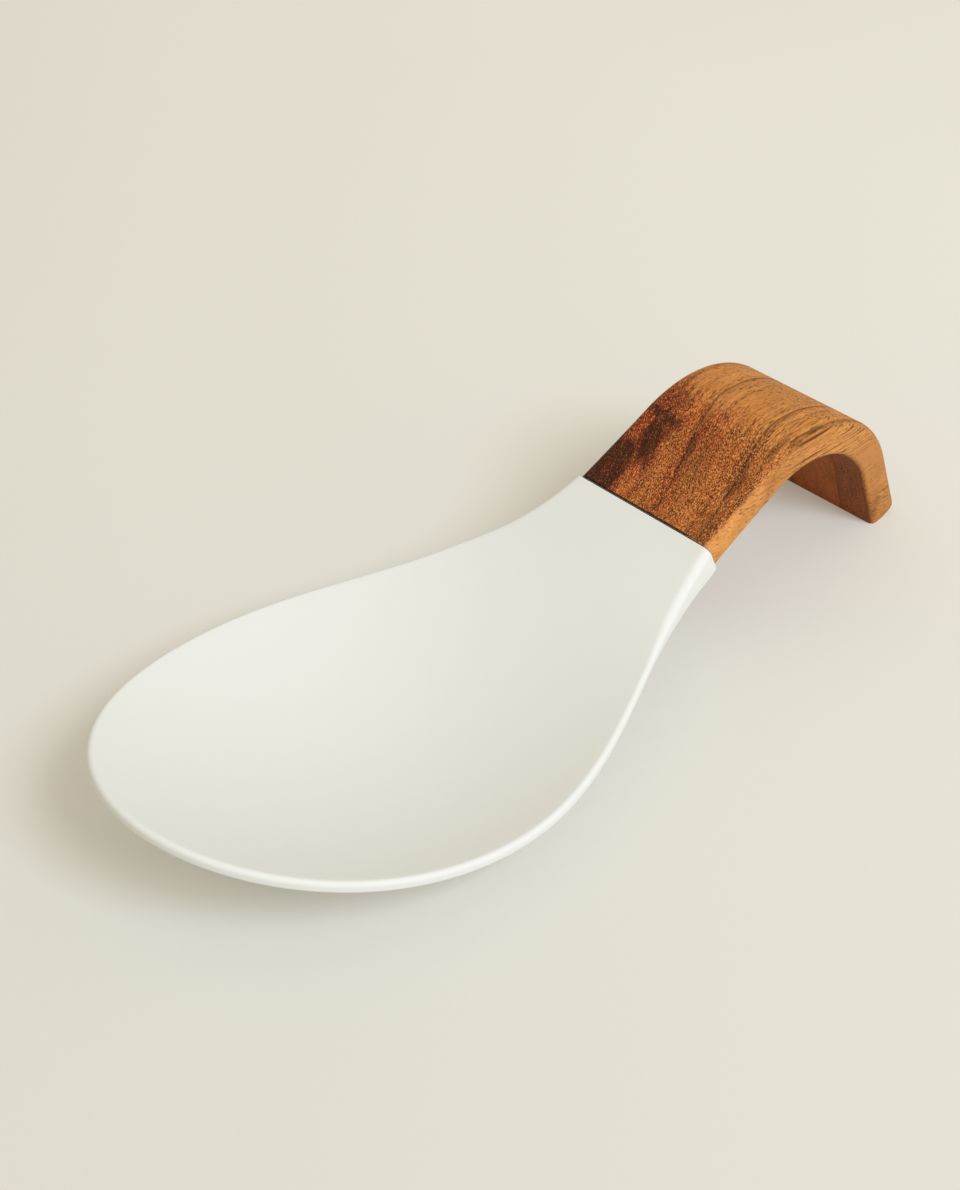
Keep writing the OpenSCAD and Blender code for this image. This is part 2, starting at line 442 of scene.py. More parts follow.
@dataclass(frozen=True)
class Acacia(Finish):
    """Oiled acacia, sawn with its fibres along X and its growth layers across Y.

    Places and sizes are millimetres. A span says where a smooth step begins and ends.
    """

    name: str = "oiled_acacia"

    # Colours
    sap: Colour = srgb(186, 117, 54)
    sap_pale: Colour = srgb(203, 138, 74)
    heart: Colour = srgb(163, 92, 44)
    heart_red: Colour = srgb(152, 65, 31)
    ink: Colour = srgb(52, 22, 15)
    ring_brown: Colour = srgb(112, 58, 26)
    painted_glint: Colour = srgb(228, 166, 98)
    # Painted shade for the inside of the arch, darker at its near side
    inner_shade_near: Colour = srgb(132, 69, 31)
    inner_shade_far: Colour = srgb(164, 88, 40)
    seam_dark: Colour = srgb(12, 8, 6)

    # Faces of the handle: the near side, the near edge of the top, and the inside of the arch,
    # which gets painted shade
    side_span: Span = (20.4, 21.8)
    near_span: Span = (5.0, 15.0)
    arch_x: float = 80.4
    arch_z: float = 7.2
    inner_reach: Span = (36.0, 33.0)
    inner_width: Span = (21.5, 20.0)
    inner_turn: Span = (-14.0, -6.0)
    inner_shade_depth: float = 0.95

    # Growth layers, and the border between heartwood and sapwood
    drift_l: float = 38.0
    drift: float = 9.7
    drift_fan: float = 0.176
    sway: Pattern = Pattern(34.0, 11.0, 14.0, 2.0, 2.0)
    sway_w: float = 2.4
    border: Pattern = Pattern(16.0, 1.8, 12.0, 3.0, 51.0)
    border_l: float = 24.0
    border_x: float = 74.5
    border_slant: float = 0.15
    border_span: Span = (-10.0, 7.0)

    # Blend of the two sapwoods and of the two heartwoods
    broad: Pattern = Pattern(42.0, 5.0, 9.0, 2.0, 5.0)
    pale_gain: float = 1.8
    pale_base: float = 0.55
    # The near side is paler sapwood, partly as painted light
    pale_and_lit_side: float = 0.45
    red_gain: float = 2.4
    red_base: float = 0.3
    red_w: float = 24.0

    # Grain
    streak: Pattern = Pattern(26.0, 1.1, 5.0, 3.0, 11.0)
    streak_weight: Weight = Weight(0.75, 1.2, 0.6)
    fibre: Pattern = Pattern(6.0, 0.3, 0.3, 2.0, 17.0)
    fibre_weight: Weight = Weight(0.9, 2.5, 1.0)
    speckle: Pattern = Pattern(1.3, 0.25, 0.25, 1.0, 27.0)
    speckle_weight: Weight = Weight(0.7, 3.0)
    pores: Pattern = Pattern(3.0, 0.42, 0.42, 1.0, 41.0)
    pore_span: Span = (0.11, 0.2)
    pore_near: float = 0.03
    pore_heart: float = 0.4
    pore_sap: float = 0.6
    pore_depth: float = 0.6
    clean_z: Span = (36.0, 28.0)
    clean_x: Span = (70.0, 90.0)
    clean_depth: float = 0.7
    # Painted light: the near side is lightened along the straight run
    lit_x: Span = (76.0, 62.0)
    lit_gain: float = 0.1
    darkest: float = 0.25

    # Growth lines on top, and fine streaks on the near side
    late_w: float = 2.4
    late_edge_w: float = 0.3
    late_base: float = 0.4
    line_gain: float = 2.0
    line_side: float = 0.8
    line_limit: float = 0.8
    thin: Pattern = Pattern(24.0, 2.0, 0.6, 2.0, 61.0)
    thin_span: Span = (0.03, 0.16)
    thin_low_z: Span = (22.0, 32.0)
    thin_low: float = 0.25
    thin_high_z: Span = (32.0, 36.0)
    thin_high: float = 0.5
    thin_x: Span = (66.0, 80.0)
    thin_run: float = 0.4
    thin_crown: float = 1.3

    # Dark patches, and the painted glints between them
    ragged_x: Pattern = Pattern(6.0, 1.6, 6.0, 4.0, 21.0)
    ragged_x_l: float = 9.0
    ragged_y: Pattern = Pattern(11.0, 2.6, 9.0, 4.0, 33.0)
    ragged_y_w: float = 6.0
    stain_fade: float = 1.3
    stain_base: float = 0.97
    stain_streak: float = 2.4
    stain_fibre: float = 2.0
    stain_limit: float = 0.96
    glint_span: Span = (0.05, 0.2)
    glint_weight: Weight = Weight(0.1, 0.6)
    glint_hidden: float = 0.75

    # Dark band on the end of the wood along the joint
    joint_x: float = 39.3
    joint_z: float = 30.0
    rise_deg: float = 26.0
    seam_span: Span = (1.2, 0.85)
    seam_y: Span = (-19.0, -14.0)
    seam_depth: float = 0.97

    # Surface
    roughness: float = 0.52
    roughness_spread: float = 0.2
    shine: float = 0.12
    relief_base: float = 0.5
    relief_fibre: float = 0.35
    relief_pore: float = 0.6
    relief_mm: float = 0.05

    rings: tuple[Ring, ...] = (
        Ring(-26.2, 0.6, 0.50),
        Ring(-18.6, 0.55, 0.65),
        Ring(-7.0, 0.6, 0.22),
        Ring(-2.9, 0.55, 0.65),
        Ring(6.0, 0.9, 0.30),
        Ring(13.5, 0.8, 0.30),
        Ring(21.0, 0.8, 0.30),
    )
    stains: tuple[Stain, ...] = (
        Stain(44.5, 17.0, 11.5, 5.6, 3.0, 1.30),
        Stain(46.0, 22.5, 14.0, 3.4, 0.0, 1.00),
        Stain(55.2, 12.8, 8.5, 2.9, 31.0, 0.95),
        Stain(59.8, 12.4, 4.2, 3.8, 0.0, 0.60),
        Stain(63.6, 16.5, 1.9, 8.5, -3.0, 0.85),
        Stain(69.5, 16.5, 5.5, 5.5, 0.0, 0.42),
        Stain(57.7, 1.3, 7.5, 1.8, 11.0, 0.55),
        Stain(58.0, -3.2, 9.0, 4.2, 8.0, 0.24),
        Stain(57.5, -15.9, 7.0, 1.8, 9.0, 0.55),
        Stain(43.0, -18.6, 8.0, 2.4, 8.0, 0.30),
        Stain(57.0, -18.8, 8.0, 2.2, 6.0, 0.22),
        Stain(66.0, 4.2, 7.0, 1.8, 16.0, 0.26),
        Stain(78.5, -19.7, 8.5, 0.9, 1.0, 0.65),
        Stain(70.0, -17.8, 7.0, 0.9, 4.0, 0.50),
    )

    def layer(self, graph: Graph, x: Wire, y: Wire, z: Wire) -> Wire:
        """Number the growth layers by their place across the board at the joint.

        Args:
            graph: The material's tree.
            x: Place along the part.
            y: Place across the part.
            z: Height.

        Returns:
            The place, at the joint, of the layer that passes here.
        """
        share = ((x - self.joint_x) / self.drift_l).clamp(0, 1)
        drift = (share + share.ease(0, 1)) / 2 * (self.drift + y * self.drift_fan)
        return y - drift + self.sway.noise(graph, (x, y, z)) * self.sway_w

    def spot(self, graph: Graph, x: Wire, y: Wire, z: Wire) -> Spot:
        """Work out what the wood is like at a place.

        Args:
            graph: The material's tree.
            x: Place along the part.
            y: Place across the part.
            z: Height.

        Returns:
            The place with its faces, woods and patterns.
        """
        layer = self.layer(graph, x, y, z)
        grain = (x, layer, z)
        side = (-y).ease(*self.side_span)
        near = (-y).ease(*self.near_span) * (1 - side)
        border_x = self.border_x + y * self.border_slant
        border_x = border_x + self.border.noise(graph, grain) * self.border_l
        sap = (x - border_x).ease(*self.border_span).at_least(side)
        first, full = self.pore_span
        pore = self.pores.noise(graph, grain).ease(first - near * self.pore_near, full)
        return Spot(
            graph=graph,
            x=x,
            y=y,
            z=z,
            layer=layer,
            side=side,
            near=near,
            sap=sap,
            heart=1 - sap,
            broad=self.broad.noise(graph, grain),
            streak=self.streak.noise(graph, grain),
            fibre=self.fibre.noise(graph, grain),
            speckle=self.speckle.noise(graph, grain),
            pore=pore * (self.pore_heart + self.pore_sap * sap),
        )

    def inner_shade_share(self, spot: Spot) -> Wire:
        """Find the inner face of the arch, where shade is painted.

        Args:
            spot: The place.

        Returns:
            One on the inner face, zero on the other faces.
        """
        across, up = spot.x - self.arch_x, spot.z - self.arch_z
        reach = (across * across + up * up).sqrt()
        return reach.ease(*self.inner_reach) * abs(spot.y).ease(*self.inner_width)

    def ground(self, spot: Spot) -> Wire:
        """Blend the plain colours of the woods with the painted shade of the inner face.

        Args:
            spot: The place.

        Returns:
            The wood's colour, with the painted shade under the arch, before its grain and its
            marks.
        """
        graph = spot.graph
        # The near side is paler: sapwood, and painted light
        pale = spot.broad * self.pale_gain + self.pale_base + spot.side * self.pale_and_lit_side
        red = spot.broad * self.red_gain + spot.y / self.red_w + self.red_base
        sapwood = graph.mix(pale.clamp(0, 1), self.sap, self.sap_pale)
        heartwood = graph.mix(red.clamp(0, 1), self.heart, self.heart_red)
        # Painted shade under the arch: darker colours, darkest towards the near side
        inner = graph.mix(spot.y.ease(*self.inner_turn), self.inner_shade_near, self.inner_shade_far)
        colour = graph.mix(spot.sap, heartwood, sapwood)
        return graph.mix(self.inner_shade_share(spot) * self.inner_shade_depth, colour, inner)

    def grained(self, spot: Spot, colour: Wire) -> Wire:
        """Lighten and darken a colour with streaks, fibres, specks and pores, and lighten the near
        side's straight run as painted light.

        Args:
            spot: The place.
            colour: The colour so far.

        Returns:
            The grained colour.
        """
        shares = (spot.heart, spot.near)
        tone = spot.streak * self.streak_weight.here(*shares)
        tone = tone + spot.fibre * self.fibre_weight.here(*shares)
        tone = tone + spot.speckle * self.speckle_weight.here(*shares)
        tone = tone - spot.pore * self.pore_depth
        clean = spot.side * spot.z.ease(*self.clean_z) * spot.x.ease(*self.clean_x)
        # Painted light on the near side's straight run
        lit = spot.side * spot.x.ease(*self.lit_x) * self.lit_gain
        factor = 1 + lit + tone * (1 - clean * self.clean_depth)
        return spot.graph.shade(colour, factor.at_least(self.darkest))

    def ring_share(self, layer: Wire) -> tuple[Wire, Wire]:
        """Darkness of the growth lines and of the late wood beside them.

        Args:
            layer: The place of the layer at the joint.

        Returns:
            Two values from zero to about one.
        """
        lines: Wire | float = 0.0
        late: Wire | float = 0.0
        for ring in self.rings:
            off = layer - ring.place_mm
            lines = (abs(off) / ring.width_mm).ease(1.0, 0.0) * ring.depth + lines
            band = off.ease(-self.late_w, 0.0) * off.ease(self.late_edge_w, 0.0)
            late = band * ring.depth + late
        return lines, late

    def ringed(self, spot: Spot, colour: Wire) -> Wire:
        """Draw the growth lines, and the fine streaks on the near side.

        Args:
            spot: The place.
            colour: The colour so far.

        Returns:
            The colour with its lines.
        """
        graph = spot.graph
        lines, late = self.ring_share(spot.layer)
        lines = lines * (1 + spot.streak * self.line_gain) * (1 - spot.side * self.line_side)
        ink = graph.mix(spot.sap, self.ink, self.ring_brown)
        colour = graph.mix(late * (self.late_base + spot.streak), colour, self.ring_brown)
        colour = graph.mix(lines.clamp(0, self.line_limit), colour, ink)
        thin = self.thin.noise(graph, (spot.x, spot.layer, spot.z)).ease(*self.thin_span)
        low = spot.z.ease(*self.thin_low_z) * self.thin_low
        high = spot.z.ease(*self.thin_high_z) * self.thin_high
        along = self.thin_run + spot.x.ease(*self.thin_x) * self.thin_crown
        return graph.mix(spot.side * (low + high) * thin * along, colour, self.ring_brown)

    def stain_share(self, spot: Spot) -> Wire:
        """Darkness of the heartwood patches.

        Args:
            spot: The place.

        Returns:
            A value from zero to about one.
        """
        place = (spot.x, spot.y, spot.z)
        ragged_x = spot.x + self.ragged_x.noise(spot.graph, place) * self.ragged_x_l
        ragged_y = spot.y + self.ragged_y.noise(spot.graph, place) * self.ragged_y_w
        total: Wire | float = 0.0
        for stain in self.stains:
            turn = math.radians(stain.turn_deg)
            east, north = ragged_x - stain.x_mm, ragged_y - stain.y_mm
            along = (east * math.cos(turn) + north * math.sin(turn)) / stain.long_mm
            across = (north * math.cos(turn) - east * math.sin(turn)) / stain.wide_mm
            patch = (along * along + across * across).ease(self.stain_fade, 0.0)
            total = patch * stain.depth + total
        return total.at_most(self.stain_limit)

    def stained(self, spot: Spot, colour: Wire) -> Wire:
        """Lay the dark patches over a colour, with painted glints between them.

        Args:
            spot: The place.
            colour: The colour so far.

        Returns:
            The stained colour.
        """
        uneven = self.stain_base + spot.streak * self.stain_streak
        uneven = uneven + spot.fibre * self.stain_fibre + spot.speckle
        stains = (self.stain_share(spot) * uneven).clamp(0, self.stain_limit)
        # Painted glints: bright gold specks, kept off the dark patches and the near side
        glints = spot.speckle.ease(*self.glint_span)
        glints = glints * self.glint_weight.here(spot.heart, spot.near)
        glints = glints * (1 - stains * self.glint_hidden) * (1 - spot.side)
        return spot.graph.mix(glints, spot.graph.mix(stains, colour, self.ink), self.painted_glint)

    def seamed(self, spot: Spot, colour: Wire) -> Wire:
        """Darken the end of the wood along the joint.

        Args:
            spot: The place.
            colour: The colour so far.

        Returns:
            The colour with the seam.
        """
        rise = math.radians(self.rise_deg)
        past = (spot.x - self.joint_x) * math.cos(rise) + (spot.z - self.joint_z) * math.sin(rise)
        seam_share = past.ease(*self.seam_span) * spot.y.ease(*self.seam_y)
        return spot.graph.mix(seam_share * self.seam_depth, colour, self.seam_dark)

    def material(self) -> bpy.types.Material:
        """Make the wood's material.

        Returns:
            The material.
        """
        material, graph, place = self.start()
        spot = self.spot(graph, *place)
        colour = self.ground(spot)
        for mark in (self.grained, self.ringed, self.stained, self.seamed):
            colour = mark(spot, colour)
        sockets = {
            "Base Color": colour,
            "Roughness": self.roughness + (spot.streak + spot.pore) * self.roughness_spread,
            "Specular IOR Level": self.shine,
        }
        relief = self.relief_base + spot.fibre * self.relief_fibre - spot.pore * self.relief_pore
        self.end(graph, sockets, relief, self.relief_mm)
        return material


@dataclass(frozen=True)
class Adhesive(Finish):
    """Dark cured glue with a few paler grains."""

    name: str = "dark_adhesive"
    body: Colour = srgb(9, 6, 5)
    grain: Colour = srgb(22, 15, 11)
    grains: Pattern = Pattern(0.8, 0.8, 0.8, 3.0, 6.0)
    grain_gain: float = 2.0
    roughness: float = 0.6
    roughness_spread: float = 0.2
    relief_mm: float = 0.02

    def material(self) -> bpy.types.Material:
        """Make the glue's material.

        Returns:
            The material.
        """
        material, graph, place = self.start()
        grains = self.grains.noise(graph, place)
        sockets = {
            "Base Color": graph.mix((grains * self.grain_gain).clamp(0, 1), self.body, self.grain),
            "Roughness": self.roughness + grains * self.roughness_spread,
        }
        self.end(graph, sockets, grains, self.relief_mm)
        return material


@dataclass(frozen=True)
class Paper(Finish):
    """Plain warm pale studio paper, with painted light that makes it slightly lighter towards the
    handle.

    A part of its tone, as seen, glows, so that shadows stay pale.
    """

    name: str = "studio_paper"
    body: Colour = srgb(226, 226, 219)
    glow: Colour = srgb(234, 226, 213)
    glow_share: float = 0.265
    cloud: Pattern = Pattern(260.0, 260.0, 260.0, 2.0, 3.0)
    cloud_depth: float = 0.03
    tooth: Pattern = Pattern(1.5, 1.5, 1.5, 2.0, 8.0)
    tooth_depth: float = 0.02
    # Painted light: the paper gets lighter towards +X
    painted_light_l_mm: float = 150.0
    painted_light_reach: float = 2.0
    painted_light_gain: float = 0.05
    roughness: float = 0.9
    shine: float = 0.1

    def material(self) -> bpy.types.Material:
        """Make the paper's material.

        Returns:
            The material.
        """
        material, graph, place = self.start()
        # Painted light: the paper is lighter towards +X, where the handle stands
        painted_light = (place[0] / self.painted_light_l_mm).clamp(-self.painted_light_reach, self.painted_light_reach)
        factor = 1 + painted_light * self.painted_light_gain
        factor = factor + self.cloud.noise(graph, place) * self.cloud_depth
        factor = factor + self.tooth.noise(graph, place) * self.tooth_depth
        sockets = {
            "Base Color": graph.shade(self.body, factor),
            "Roughness": self.roughness,
            "Specular IOR Level": self.shine,
        }
        surface = graph.add("ShaderNodeBsdfPrincipled", None, sockets)
        glow = graph.add("ShaderNodeEmission", None, {"Color": self.glow, "Strength": 1.0})
        seen = graph.add("ShaderNodeLightPath", out="Is Camera Ray")
        seen = seen + seen.other("Is Glossy Ray") + seen.other("Is Transmission Ray")
        share = seen.at_most(1) * self.glow_share
        mixed = graph.add("ShaderNodeMixShader", None, {0: share, 1: surface, 2: glow})
        graph.add("ShaderNodeOutputMaterial", None, {"Surface": mixed})
        return material


def evaluated_mesh(piece: bpy.types.Object) -> bpy.types.Mesh:
    """Turn an object with its modifiers into a plain mesh.

    Args:
        piece: The object.

    Returns:
        A new mesh.
    """
    depsgraph = bpy.context.evaluated_depsgraph_get()
    return bpy.data.meshes.new_from_object(piece.evaluated_get(depsgraph))


def link(name: str, mesh: bpy.types.Mesh) -> bpy.types.Object:
    """Put a mesh into the scene as an object at the origin.

    Args:
        name: The object's name.
        mesh: Its mesh.

    Returns:
        The object.
    """
    piece = bpy.data.objects.new(name, mesh)
    bpy.context.scene.collection.objects.link(piece)
    return piece


def cut_flat(mesh: bpy.types.Mesh, point: Vector, outward: Vector) -> None:
    """Cut a mesh along a plane and close the cut.

    Args:
        mesh: The mesh, changed in place.
        point: A point on the plane.
        outward: Direction of the side that goes.
    """
    bm = bmesh.new()
    bm.from_mesh(mesh)
    whole = bm.verts[:] + bm.edges[:] + bm.faces[:]
    plane = {"plane_co": point, "plane_no": outward}
    cut = bmesh.ops.bisect_plane(bm, geom=whole, clear_outer=True, **plane)
    rim = [item for item in cut["geom_cut"] if isinstance(item, bmesh.types.BMEdge)]
    bmesh.ops.edgeloop_fill(bm, edges=rim)
    bm.to_mesh(mesh)
    bm.free()


def close_up(mesh: bpy.types.Mesh, sharp_deg: float) -> None:
    """Close open loops, point faces outwards and shade smoothly between sharp edges.

    Args:
        mesh: The mesh, changed in place.
        sharp_deg: Angle above which an edge stays sharp.
    """
    bm = bmesh.new()
    bm.from_mesh(mesh)
    bmesh.ops.remove_doubles(bm, verts=bm.verts[:], dist=WELD_MM * MM)
    loose = [edge for edge in bm.edges if edge.is_boundary]
    if loose:
        bmesh.ops.edgeloop_fill(bm, edges=loose)
    bmesh.ops.recalc_face_normals(bm, faces=bm.faces[:])
    for face in bm.faces:
        face.smooth = True
    bm.to_mesh(mesh)
    bm.free()
    mesh.set_sharp_from_angle(angle=math.radians(sharp_deg))


def carve(piece: bpy.types.Object, tool: bpy.types.Mesh, how: Carve) -> None:
    """Join a tool solid to a piece, or cut it out.

    Args:
        piece: The piece, whose mesh is replaced.
        tool: The tool's mesh.
        how: Whether to join or to cut.
    """
    helper = link("carving_tool", tool)
    modifier = piece.modifiers.new("carve", "BOOLEAN")
    modifier.operation = how.value
    modifier.solver = "EXACT"
    modifier.object = helper
    carved = evaluated_mesh(piece)
    piece.modifiers.clear()
    piece.data = carved
    bpy.data.objects.remove(helper)


def dress(piece: bpy.types.Object, node: str) -> None:
    """Say what a finished piece stands for.

    Args:
        piece: The piece.
        node: The CAD node that it replaces.
    """
    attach(piece, BODY)
    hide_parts(node)


@dataclass(frozen=True)
class Joint:
    """Where the neck meets the handle, and the tongue between them."""

    head_l: float = 164.0
    neck_h: float = 30.0
    rise_deg: float = 26.0
    root_t: float = 7.6
    tongue_l: float = 16.0
    tongue_w: float = 28.0
    tongue_t: float = 3.0
    root_l: float = 6.0
    glue_t: float = 0.5
    glue_gap: float = 0.25

    @property
    def rise(self) -> float:
        """Angle of the handle's rise, in radians."""
        return math.radians(self.rise_deg)

    def direction(self) -> Vector:
        """Unit vector along the handle, away from the dish."""
        return Vector((math.cos(self.rise), 0, math.sin(self.rise)))

    def point(self, middle: float) -> Vector:
        """Middle of the joint's upper edge, in metres, with x from the middle of the box."""
        return Vector((self.head_l - middle, 0, self.neck_h)) * MM

    def tongue(self, middle: float, gap: float) -> bpy.types.Mesh:
        """Make the tongue, or the mortise where it is grown by a gap.

        Args:
            middle: Distance from the tip to the middle of the overall box.
            gap: Growth on each side.

        Returns:
            A box mesh, in metres.
        """
        length = self.root_l + self.tongue_l + gap
        size = Vector((length, self.tongue_w + 2 * gap, self.tongue_t + 2 * gap)) * MM
        centre = Vector((length / 2 - self.root_l, 0, -self.root_t / 2)) * MM
        turn = Matrix.Translation(self.point(middle)) @ Matrix.Rotation(-self.rise, 4, "Y")
        bm = bmesh.new()
        place = turn @ Matrix.Translation(centre) @ Matrix.Diagonal(size.to_4d())
        bmesh.ops.create_cube(bm, size=1, matrix=place)
        mesh = bpy.data.meshes.new("tongue")
        bm.to_mesh(mesh)
        bm.free()
        return mesh


@dataclass
class Handle:
    """Arched wooden handle, swept by a rule along a line, an arc and a line."""

    joint: Joint
    finish: Finish
    root_w: float = 46.0
    width: float = 44.0
    foot_w: float = 41.6
    draw_in_l: float = 45.0
    foot_draw_l: float = 55.0
    foot_t: float = 11.0
    run_l: float = 27.0
    arch_r: float = 38.5
    leg_lean_deg: float = 23.0
    top_round: float = 2.8
    under_round: float = 1.4
    foot_round: float = 2.5
    side_round: float = 4.5
    ring_n: int = 220
    arc_n: int = 8
    edge_n: int = 7
    sharp_deg: float = 40.0

    @property
    def leg(self) -> float:
        """Steepness of the leg, in radians."""
        return math.radians(90 - self.leg_lean_deg)

    @property
    def leg_l(self) -> float:
        """Length of the straight leg.

        Returns:
            The length from the end of the arch to the table.
        """
        rise, leg = self.joint.rise, self.leg
        top = self.joint.neck_h + self.run_l * math.sin(rise) - self.arch_r * math.cos(rise)
        return (top + self.arch_r * math.cos(leg)) / math.sin(leg)

    @property
    def side_n(self) -> int:
        """Points on a side of the section: those of one rounding and one straight edge."""
        return self.arc_n + 1 + self.edge_n

    @property
    def around_n(self) -> int:
        """Points round the section, with the first one again at the end."""
        return CORNER_N * self.side_n + 1

    @property
    def path_l(self) -> float:
        """Length of the outer face from the joint to the table."""
        return self.run_l + self.arch_r * (self.joint.rise + self.leg) + self.leg_l

    @property
    def middle(self) -> float:
        """Middle of the overall box.

        Returns:
            Its distance from the dish's tip.
        """
        rise, leg = self.joint.rise, self.leg
        start = self.joint.head_l + self.run_l * math.cos(rise) + self.arch_r * math.sin(rise)
        foot = start + self.arch_r * math.sin(leg) + self.leg_l * math.cos(leg)
        return (foot - self.foot_round * (math.cos(leg) + math.sin(leg) - 1)) / 2

    def inputs(self) -> dict[str, float]:
        """Sizes of the sweep, in metres and radians.

        Returns:
            The value of each named input of the tree.
        """
        lengths = {
            "Head Length": self.joint.head_l - self.middle,
            "Neck Height": self.joint.neck_h,
            "Start": self.joint.glue_t,
            "End": self.path_l + self.foot_t,
            "Path Length": self.path_l,
            "Root Width": self.root_w,
            "Width": self.width,
            "Foot Width": self.foot_w,
            "Draw In Length": self.draw_in_l,
            "Foot Draw Length": self.foot_draw_l,
            "Root Thickness": self.joint.root_t,
            "Foot Thickness": self.foot_t,
            "Run Length": self.run_l,
            "Arch Radius": self.arch_r,
            "Top Round": self.top_round,
            "Under Round": self.under_round,
            "Foot Round": self.foot_round,
            "Side Round": self.side_round,
        }
        metres = {name: value * MM for name, value in lengths.items()}
        return {**metres, "Rise": self.joint.rise, "Leg": self.leg}

    def path(self, size: Mapping[str, Wire], length: Wire) -> tuple[Wire, Wire, Wire]:
        """Follow the outer face along the straight run, over the arch and down the leg.

        Args:
            size: The tree's named inputs.
            length: Distance along the face from the joint.

        Returns:
            The face's x and z, and its heading above level in radians.
        """
        rise, leg, radius, run = size["Rise"], size["Leg"], size["Arch Radius"], size["Run Length"]
        turn = ((length - run) / radius).clamp(0, rise + leg)
        heading = rise - turn
        slope = length.at_most(run)
        down = (length - run - radius * (rise + leg)).at_least(0)
        bow_x = radius * (rise.sin() - heading.sin())
        bow_z = radius * (heading.cos() - rise.cos())
        path_x = size["Head Length"] + slope * rise.cos() + bow_x + down * leg.cos()
        path_z = size["Neck Height"] + slope * rise.sin() + bow_z - down * leg.sin()
        return path_x, path_z, heading

    def section_size(self, size: Mapping[str, Wire], length: Wire) -> tuple[Wire, Wire, Wire]:
        """Size the section: it draws in from the joint, thickens, and is rounded at the foot.

        Args:
            size: The tree's named inputs.
            length: Distance along the outer face from the joint.

        Returns:
            Half its width, its thickness, and how far it is set back from the outer face.
        """
        to_foot = length - size["Path Length"]

        def rounded_off(radius: Wire) -> Wire:
            """Distance that a rounding at the foot takes off a face."""
            left = (to_foot + radius).clamp(0, radius)
            return radius - (radius * radius - left * left).sqrt()

        back = rounded_off(size["Foot Round"])
        draw_in = (1 - length / size["Draw In Length"]).at_least(0) ** 2
        foot_draw = (to_foot / size["Foot Draw Length"]).ease(-1, 0)
        narrowing = foot_draw * (size["Width"] - size["Foot Width"]) / 2
        half_w = (size["Width"] + (size["Root Width"] - size["Width"]) * draw_in) / 2
        half_w = half_w - narrowing - rounded_off(size["Side Round"])
        taper = (size["Foot Thickness"] - size["Root Thickness"]) * length / size["Path Length"]
        return half_w, size["Root Thickness"] + taper - back, back

    def section(self, size: Mapping[str, Wire], length: Wire, column: Wire) -> tuple[Wire, Wire]:
        """Find a point on the section, which has a rounding at each corner and straight edges.

        Args:
            size: The tree's named inputs.
            length: Distance along the outer face from the joint.
            column: The point's number round the section.

        Returns:
            Its place across the section, and its height from the outer face.
        """
        half_w, thickness, back = self.section_size(size, length)

        def corner_point(which: Wire, angle: Wire) -> tuple[Wire, Wire]:
            """Find a point on a rounded corner.

            Args:
                which: The corner. The upper ones are 0 and 1, those at +Y are 0 and 3.
                angle: Angle from +Y towards up, in radians.

            Returns:
                Its place across the section, and its height from the upper face.
            """
            right = (abs(which - 1.5) - 1).sign()
            upper = which.below(1.5)
            r = size["Under Round"] + (size["Top Round"] - size["Under Round"]) * upper
            across = right * (half_w - r) + r * angle.cos()
            return across, r * (1 - 2 * upper) - thickness * (1 - upper) + r * angle.sin()

        step = column % self.side_n
        corner = column // self.side_n % CORNER_N
        following = (corner + 1) % CORNER_N
        arc = corner_point(corner, (corner + (step / self.arc_n).at_most(1)) * QUARTER)
        next_arc = corner_point(following, following * QUARTER)
        share = ((step - self.arc_n) / (self.edge_n + 1)).at_least(0)
        across = arc[0] + (next_arc[0] - arc[0]) * share
        height = arc[1] + (next_arc[1] - arc[1]) * share - back
        return across, height

    def position(self, graph: Graph, size: Mapping[str, Wire]) -> Wire:
        """Find where the sweep puts a point of the grid.

        Args:
            graph: The sweep's tree.
            size: The tree's named inputs.

        Returns:
            The place, in metres.
        """
        index = graph.add("GeometryNodeInputIndex")
        ring = index // self.around_n
        length = size["Start"] + (size["End"] - size["Start"]) * ring / (self.ring_n - 1)
        path_x, path_z, heading = self.path(size, length)
        across, height = self.section(size, length, index % self.around_n)
        place = {0: path_x - heading.sin() * height, 1: across, 2: path_z + heading.cos() * height}
        return graph.add("ShaderNodeCombineXYZ", None, place)

    def sweep_tree(self) -> bpy.types.NodeTree:
        """Make the node tree that bends a grid into the handle.

        Returns:
            The tree, with an input for each size and one for the material.
        """
        tree = bpy.data.node_groups.new("handle_sweep", "GeometryNodeTree")
        sockets = {name: ("INPUT", "NodeSocketFloat") for name in self.inputs()}
        sockets["Wood"] = ("INPUT", "NodeSocketMaterial")
        sockets["Geometry"] = ("OUTPUT", "NodeSocketGeometry")
        for name, (flow, kind) in sockets.items():
            tree.interface.new_socket(name=name, in_out=flow, socket_type=kind)
        graph = Graph(tree)
        given = graph.add("NodeGroupInput")
        size = {name: given.other(name) for name in self.inputs()}
        counts = {"Vertices X": self.ring_n, "Vertices Y": self.around_n}
        grid = graph.add("GeometryNodeMeshGrid", None, counts)
        swept = {"Geometry": grid, "Position": self.position(graph, size)}
        bent = graph.add("GeometryNodeSetPosition", None, swept)
        seam = {"Geometry": bent, "Distance": SEAM_MM * MM}
        closed = graph.add("GeometryNodeMergeByDistance", None, seam)
        real = graph.add("GeometryNodeRealizeInstances", None, {"Geometry": closed})
        wood = {"Geometry": real, "Material": given.other("Wood")}
        dressed = graph.add("GeometryNodeSetMaterial", None, wood)
        graph.add("NodeGroupOutput", None, {"Geometry": dressed})
        return tree

